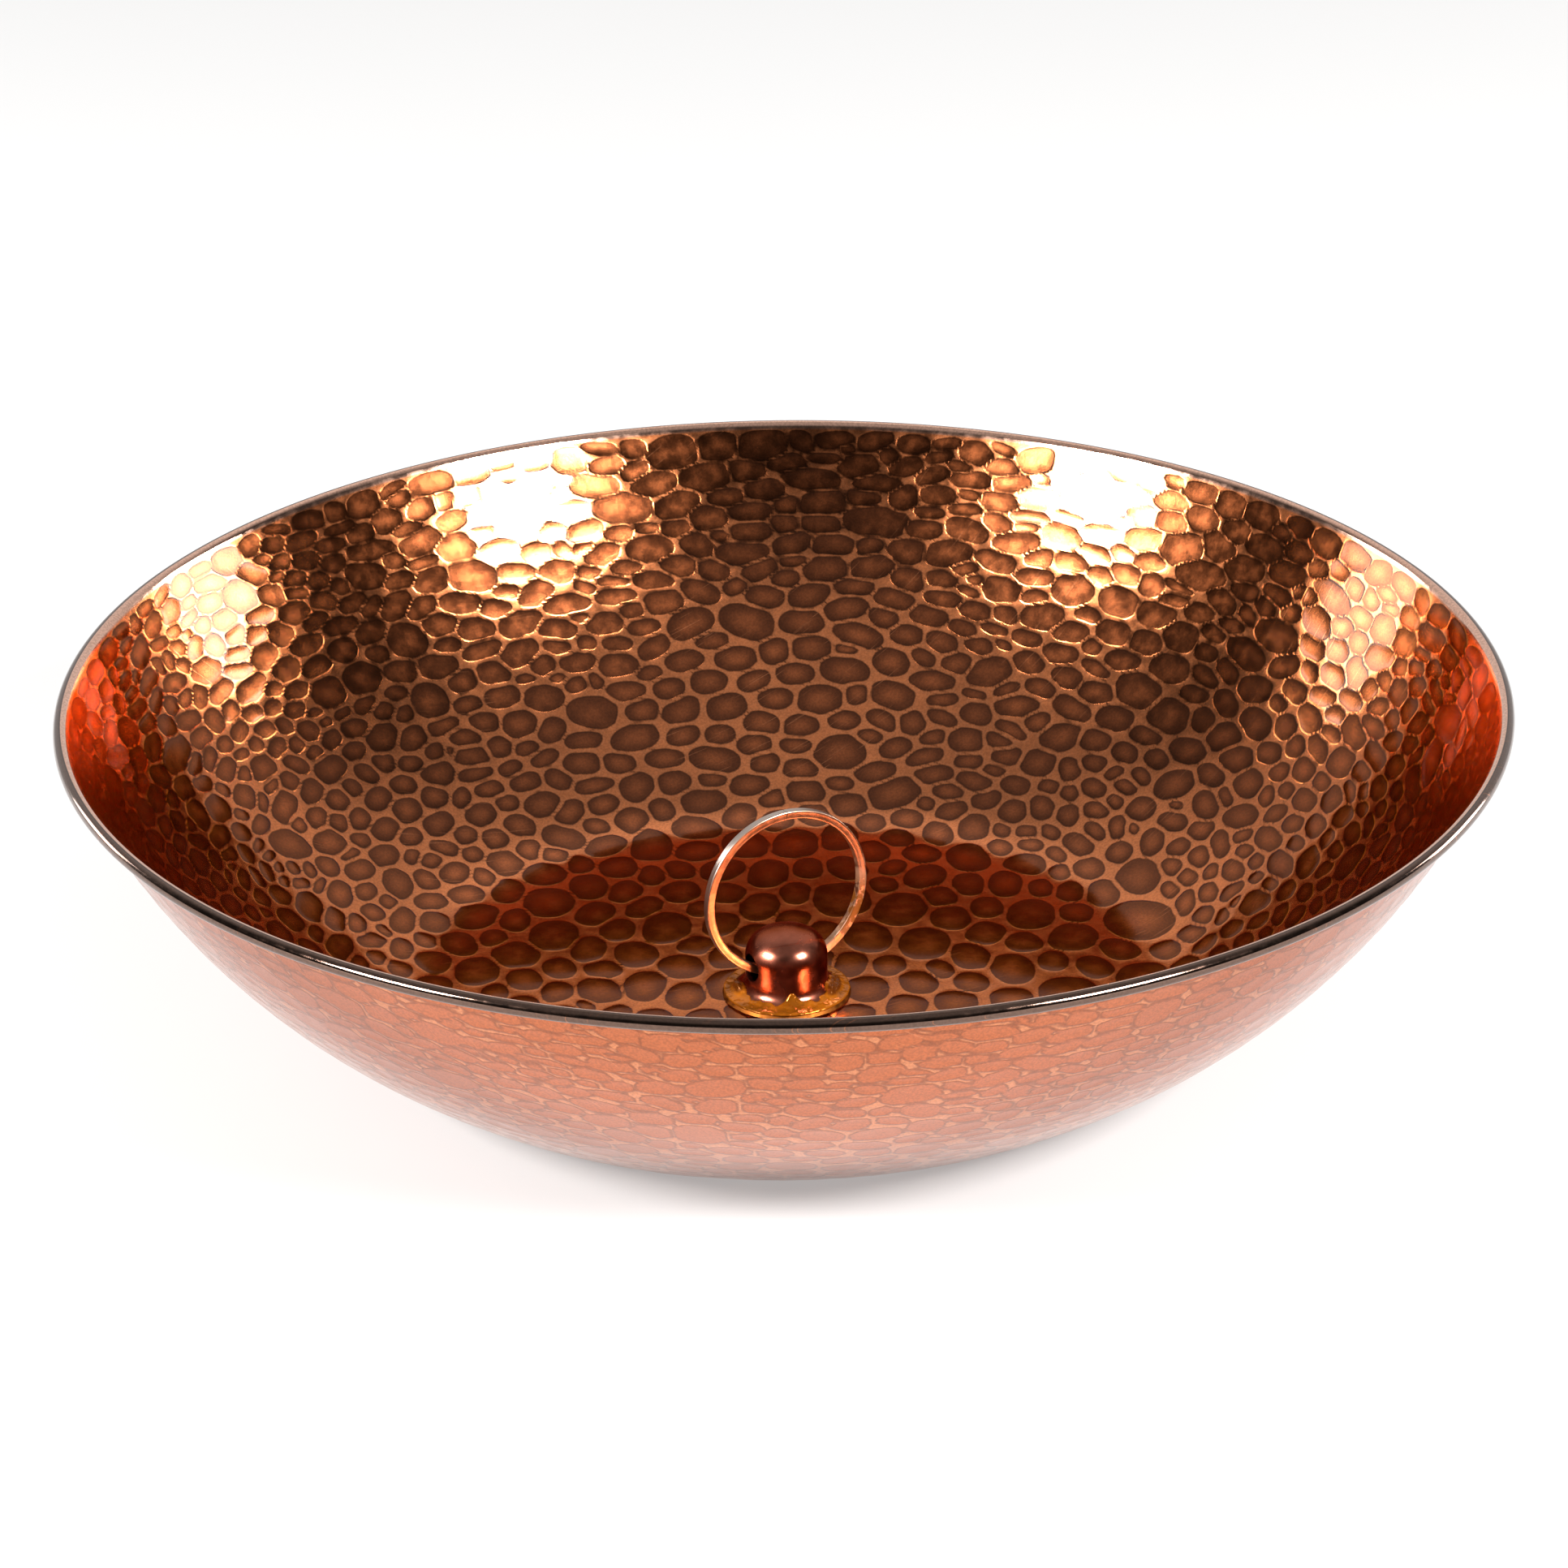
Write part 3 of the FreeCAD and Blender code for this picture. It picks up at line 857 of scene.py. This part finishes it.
    # Hairline scratches, about 12 mm long
    lines = add_node(tree, "ShaderNodeMapping", {}, {"Vector": where, "Rotation": (0.3, 0.2, 0.9),
                                                     "Scale": (70.0, 2600.0, 70.0)}).outputs["Vector"]
    hair = add_node(tree, "ShaderNodeTexNoise", {}, {"Vector": lines, "Scale": 1.0, "Detail": 1.0}).outputs["Fac"]
    scratch = add_node(tree, "ShaderNodeMath", {"operation": "MULTIPLY"}, {
        0: between(tree, hair, 0.66, 0.74), 1: between(tree, patch, 0.48, 0.62, 0.0, 0.5)}).outputs[0]
    scratched = blend(tree, scratch, rimmed, opaque(colours.bright))
    final = blend(tree, 1.0, scratched, between(tree, speck, 0.3, 0.7, 0.84, 1.12), "MULTIPLY")
    rough_a = between(tree, smear, 0.3, 0.7, 0.15, 0.23)
    rough = add_node(tree, "ShaderNodeMath", {"operation": "MULTIPLY_ADD"}, {
        0: read["rim"], 1: -0.08, 2: rough_a}).outputs[0]
    rise_a = add_node(tree, "ShaderNodeMath", {"operation": "MULTIPLY_ADD"}, {
        0: speck, 1: 0.10, 2: in_mark}).outputs[0]
    rise = add_node(tree, "ShaderNodeMath", {"operation": "MULTIPLY_ADD"}, {0: smear, 1: 0.5, 2: rise_a}).outputs[0]
    bump = add_node(tree, "ShaderNodeBump", {}, {"Strength": 0.6, "Distance": 0.00008, "Height": rise})
    shader = add_node(tree, "ShaderNodeBsdfPrincipled", {}, {
        "Base Color": final, "Metallic": 1.0, "Roughness": rough, "Normal": bump.outputs["Normal"],
        "Specular Tint": blend(tree, read["inside"], (1.0, 1.0, 1.0, 1.0), opaque(colours.graze)),
        "Coat Weight": colours.lacquer, "Coat Roughness": 0.09})
    add_node(tree, "ShaderNodeOutputMaterial", {}, {"Surface": shader.outputs["BSDF"]})
    return material


def plain_metal(name, colour, roughness, cloud_mm, graze=(1.0, 1.0, 1.0)):
    """Smooth drawn metal with cloudy tarnish and a faint grain."""
    material, tree = new_material(name)
    where = add_node(tree, "ShaderNodeTexCoord", {}, {}).outputs["Object"]
    grain = add_node(tree, "ShaderNodeTexNoise", {}, {"Vector": where, "Scale": 2200.0, "Detail": 2.0}).outputs["Fac"]
    cloud = add_node(tree, "ShaderNodeTexNoise", {}, {
        "Vector": where, "Scale": 1000 / cloud_mm, "Detail": 4.0}).outputs["Fac"]
    tint = blend(tree, between(tree, cloud, 0.3, 0.7), opaque(tuple(c * 0.7 for c in colour)), opaque(colour))
    rough = between(tree, cloud, 0.3, 0.7, roughness * 0.8, roughness * 1.25)
    bump = add_node(tree, "ShaderNodeBump", {}, {"Strength": 0.25, "Distance": 0.00001, "Height": grain})
    shader = add_node(tree, "ShaderNodeBsdfPrincipled", {}, {
        "Base Color": tint, "Metallic": 1.0, "Roughness": rough, "Specular Tint": opaque(graze),
        "Normal": bump.outputs["Normal"]})
    add_node(tree, "ShaderNodeOutputMaterial", {}, {"Surface": shader.outputs["BSDF"]})
    return material


def copper_bar(colours):
    """Drawn copper bar: orange faces, a rubbed silvery outer face, and a smear of flux on one side."""
    material, tree = new_material("drawn_copper_bar")
    where = add_node(tree, "ShaderNodeTexCoord", {}, {}).outputs["Object"]
    outer = add_node(tree, "ShaderNodeAttribute", {"attribute_name": "outer"}, {}).outputs["Fac"]
    smear = add_node(tree, "ShaderNodeAttribute", {"attribute_name": "smear"}, {}).outputs["Fac"]
    cloud = add_node(tree, "ShaderNodeTexNoise", {}, {"Vector": where, "Scale": 420.0, "Detail": 4.0}).outputs["Fac"]
    fine = add_node(tree, "ShaderNodeTexNoise", {}, {"Vector": where, "Scale": 1800.0, "Detail": 3.0}).outputs["Fac"]
    tint = blend(tree, between(tree, cloud, 0.35, 0.65), opaque(tuple(c * 0.6 for c in colours.ring)),
                 opaque(colours.ring))
    tint = blend(tree, outer, tint, opaque(colours.ring_outer))
    pits = between(tree, fine, 0.66, 0.74, 0.0, 0.8)
    tint = blend(tree, pits, tint, opaque(tuple(c * 0.2 for c in colours.ring)))
    crust = add_node(tree, "ShaderNodeMath", {"operation": "MULTIPLY"}, {
        0: smear, 1: between(tree, cloud, 0.40, 0.52)}).outputs[0]
    tint = blend(tree, crust, tint, opaque(tuple(c * 0.42 for c in colours.residue)))
    metal = add_node(tree, "ShaderNodeMath", {"operation": "MULTIPLY_ADD"}, {0: crust, 1: -0.8, 2: 1.0}).outputs[0]
    bump = add_node(tree, "ShaderNodeBump", {}, {"Strength": 0.3, "Distance": 0.00004, "Height": cloud})
    shader = add_node(tree, "ShaderNodeBsdfPrincipled", {}, {
        "Base Color": tint, "Metallic": metal, "Roughness": 0.30, "Normal": bump.outputs["Normal"]})
    add_node(tree, "ShaderNodeOutputMaterial", {}, {"Surface": shader.outputs["BSDF"]})
    return material


def amber_flux(colour):
    """Hardened flux: glassy amber, darker and less clear where it lies thick, with patchy roughness."""
    material, tree = new_material("hardened_amber_flux")
    where = add_node(tree, "ShaderNodeTexCoord", {}, {}).outputs["Object"]
    thick = add_node(tree, "ShaderNodeAttribute", {"attribute_name": "thick"}, {}).outputs["Fac"]
    crust = add_node(tree, "ShaderNodeTexNoise", {}, {"Vector": where, "Scale": 300.0, "Detail": 4.0}).outputs["Fac"]
    cloud = add_node(tree, "ShaderNodeTexNoise", {}, {"Vector": where, "Scale": 170.0, "Detail": 3.0}).outputs["Fac"]
    amber = blend(tree, between(tree, cloud, 0.35, 0.65), opaque(tuple(c * 0.45 for c in colour)), opaque(colour))
    brown = (colour[0] * 0.28, colour[1] * 0.24, colour[2] * 0.5)
    tint = blend(tree, between(tree, thick, 0.45, 1.3), amber, opaque(brown))
    bump = add_node(tree, "ShaderNodeBump", {}, {
        "Strength": 0.35, "Distance": 0.0004, "Height": crust})
    shader = add_node(tree, "ShaderNodeBsdfPrincipled", {}, {
        "Base Color": tint, "Roughness": between(tree, crust, 0.4, 0.7, 0.08, 0.22), "Metallic": 0.3,
        "Specular Tint": (0.9, 0.5, 0.2, 1.0),
        "Transmission Weight": between(tree, thick, 0.2, 0.9, 0.25, 0.0),
        "Normal": bump.outputs["Normal"]})
    add_node(tree, "ShaderNodeOutputMaterial", {}, {"Surface": shader.outputs["BSDF"]})
    return material


def give_material(piece, material):
    piece.data.materials.clear()
    piece.data.materials.append(material)


# ---------------------------------------------------------------- operators


class BASIN_OT_sheet(Operator):
    """Make the hammered sheet with its rolled rim"""

    bl_idname = "basin.sheet"
    bl_label = "Hammered sheet"

    def execute(self, context):
        piece = hammered_sheet(context.scene.basin_sizes)
        give_material(piece, hammered_copper(context.scene.basin_colours))
        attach(piece, "basin")
        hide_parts("bowl_shell")
        return {"FINISHED"}


class BASIN_OT_fittings(Operator):
    """Finish the cap, its solder, its residue, the rim wire and the ring"""

    bl_idname = "basin.fittings"
    bl_label = "Cap and ring"

    def execute(self, context):
        colours = context.scene.basin_colours
        sizes = context.scene.basin_fittings
        cap = domed_cap(sizes)
        give_material(cap, plain_metal("drawn_copper", colours.cap, 0.23, 6.0, (0.75, 0.34, 0.24)))
        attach(cap, "basin")
        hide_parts("anchor_cap")
        ring = bent_ring(sizes)
        give_material(ring, copper_bar(colours))
        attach(ring, "ring")
        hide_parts("swing_ring")
        flux = hardened_flux(sizes)
        give_material(flux, amber_flux(colours.residue))
        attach(flux, "basin")
        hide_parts("residue_right", "residue_left", "residue_front")
        finishes = {
            "rim_wire": plain_metal("steel_wire", linear("9a9a98"), 0.35, 2.0),
            "solder_seam": plain_metal("browned_solder", linear("6e3d16"), 0.5, 2.0, (0.6, 0.3, 0.12)),
        }
        for node, material in finishes.items():
            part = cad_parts[node]
            for slot in part.material_slots:
                slot.material = material
        return {"FINISHED"}


class BASIN_OT_studio(Operator):
    """Set up the pale floor, the two softboxes, the room's light and the camera"""

    bl_idname = "basin.studio"
    bl_label = "Studio"

    def execute(self, context):
        studio = context.scene.basin_studio
        back = Vector((
            math.sin(studio.azimuth) * math.cos(studio.elevation),
            -math.cos(studio.azimuth) * math.cos(studio.elevation),
            math.sin(studio.elevation)))
        self.lay_floor(studio)
        self.hang_softboxes(studio)
        self.light_room(context, studio)
        self.place_camera(context, studio, back)
        context.scene.view_settings.view_transform = "Standard"
        return {"FINISHED"}

    def lay_floor(self, studio):
        bm = bmesh.new()
        bmesh.ops.create_grid(bm, x_segments=24, y_segments=24, size=9.0)
        mesh = bpy.data.meshes.new("studio_floor")
        bm.to_mesh(mesh)
        bm.free()
        floor = bpy.data.objects.new("studio_floor", mesh)
        bpy.context.scene.collection.objects.link(floor)
        material, tree = new_material("pale_paper")
        shader = add_node(tree, "ShaderNodeBsdfPrincipled", {}, {
            "Base Color": opaque(studio.floor), "Roughness": 0.75, "Emission Color": (1.0, 1.0, 1.0, 1.0),
            "Emission Strength": 0.38})
        add_node(tree, "ShaderNodeOutputMaterial", {}, {"Surface": shader.outputs["BSDF"]})
        give_material(floor, material)

    def hang_softboxes(self, studio):
        """Two strong softboxes on the camera's side, and two weak low ones at the basin's ends."""
        target = Vector((0, 0, 0.06))
        for name, turn_deg, rise_deg, wide, tall, power in (
                ("softbox_right", 51.0, 34.0, 0.50, 0.42, studio.softbox),
                ("softbox_left", -61.0, 30.0, 0.50, 0.42, studio.softbox),
                ("end_light_right", 115.0, 12.0, 0.50, 0.50, studio.end_light),
                ("end_light_left", -120.0, 12.0, 0.50, 0.50, studio.end_light * 0.5)):
            turn = studio.azimuth + math.radians(turn_deg)
            rise = math.radians(rise_deg)
            back = Vector((math.sin(turn) * math.cos(rise), -math.cos(turn) * math.cos(rise), math.sin(rise)))
            light = bpy.data.lights.new(name, "AREA")
            light.shape = "RECTANGLE"
            light.size = wide
            light.size_y = tall
            light.energy = power
            lamp = bpy.data.objects.new(name, light)
            lamp.location = target + back * 1.7
            lamp.rotation_euler = back.to_track_quat("Z", "Y").to_euler()
            lamp.visible_camera = False
            bpy.context.scene.collection.objects.link(lamp)

    def light_room(self, context, studio):
        """A room that is dark on the camera's side, grey overhead and pale behind the basin."""
        world = bpy.data.worlds.new("studio_room")
        world.use_nodes = True
        tree = world.node_tree
        tree.nodes.clear()
        where = add_node(tree, "ShaderNodeTexCoord", {}, {}).outputs["Generated"]
        away = (-math.sin(studio.azimuth), math.cos(studio.azimuth), 0.0)
        share = add_node(tree, "ShaderNodeVectorMath", {"operation": "DOT_PRODUCT"}, {0: where, 1: away})
        height = add_node(tree, "ShaderNodeSeparateXYZ", {}, {"Vector": where}).outputs["Z"]
        ceiling = between(tree, height, 0.50, 0.97, 0.05, 0.46)
        rear = between(tree, share.outputs["Value"], 0.15, 0.80, 0.0, 0.75)
        level = add_node(tree, "ShaderNodeMath", {"operation": "ADD"}, {0: ceiling, 1: rear}).outputs[0]
        strength = add_node(tree, "ShaderNodeMath", {"operation": "MULTIPLY"}, {0: level, 1: studio.room})
        background = add_node(tree, "ShaderNodeBackground", {}, {
            "Color": (1.0, 1.0, 1.0, 1.0), "Strength": strength.outputs[0]})
        add_node(tree, "ShaderNodeOutputWorld", {}, {"Surface": background.outputs["Background"]})
        context.scene.world = world

    def place_camera(self, context, studio, back):
        """The camera looks at the middle of the rim, then a little further down, and leans a little."""
        target = Vector((0, 0, BASIN_HEIGHT * MM - 0.00202))
        camera = bpy.data.cameras.new("studio_camera")
        camera.lens = studio.lens
        camera.sensor_width = 36.0
        camera.clip_end = 60.0
        viewer = bpy.data.objects.new("studio_camera", camera)
        turn = back.to_track_quat("Z", "Y").to_matrix()
        lean = Matrix.Rotation(math.radians(-0.65), 3, "Z")
        dip = Matrix.Rotation(math.radians(-0.763), 3, "X") @ Matrix.Rotation(math.radians(0.004), 3, "Y")
        viewer.matrix_world = Matrix.Translation(target + back * studio.distance) @ (turn @ dip @ lean).to_4x4()
        context.scene.collection.objects.link(viewer)
        context.scene.camera = viewer


class BASIN_PT_panel(Panel):
    """Sizes, colours and the steps that make the basin"""

    bl_idname = "BASIN_PT_panel"
    bl_label = "Hammered basin"
    bl_space_type = "VIEW_3D"
    bl_region_type = "UI"
    bl_category = "Basin"

    def draw(self, context):
        column = self.layout.column()
        for group in [getattr(context.scene, name) for name in GROUPS]:
            for name in group.bl_rna.properties.keys():
                if name not in ("rna_type", "name"):
                    column.prop(group, name)
        for step in STEPS:
            column.operator(step.bl_idname)


STEPS = (BASIN_OT_sheet, BASIN_OT_fittings, BASIN_OT_studio)
GROUPS = {"basin_sizes": BasinSizes, "basin_fittings": FittingSizes, "basin_colours": CopperColours, "basin_studio": StudioSizes}


def register():
    for name, group in GROUPS.items():
        bpy.utils.register_class(group)
        setattr(bpy.types.Scene, name, PointerProperty(type=group))
    for item in STEPS + (BASIN_PT_panel,):
        bpy.utils.register_class(item)


def unregister():
    for item in (BASIN_PT_panel,) + STEPS:
        bpy.utils.unregister_class(item)
    for name, group in GROUPS.items():
        delattr(bpy.types.Scene, name)
        bpy.utils.unregister_class(group)


def main():
    register()
    bpy.ops.basin.sheet()
    bpy.ops.basin.fittings()
    bpy.ops.basin.studio()


if __name__ == "__main__":
    main()
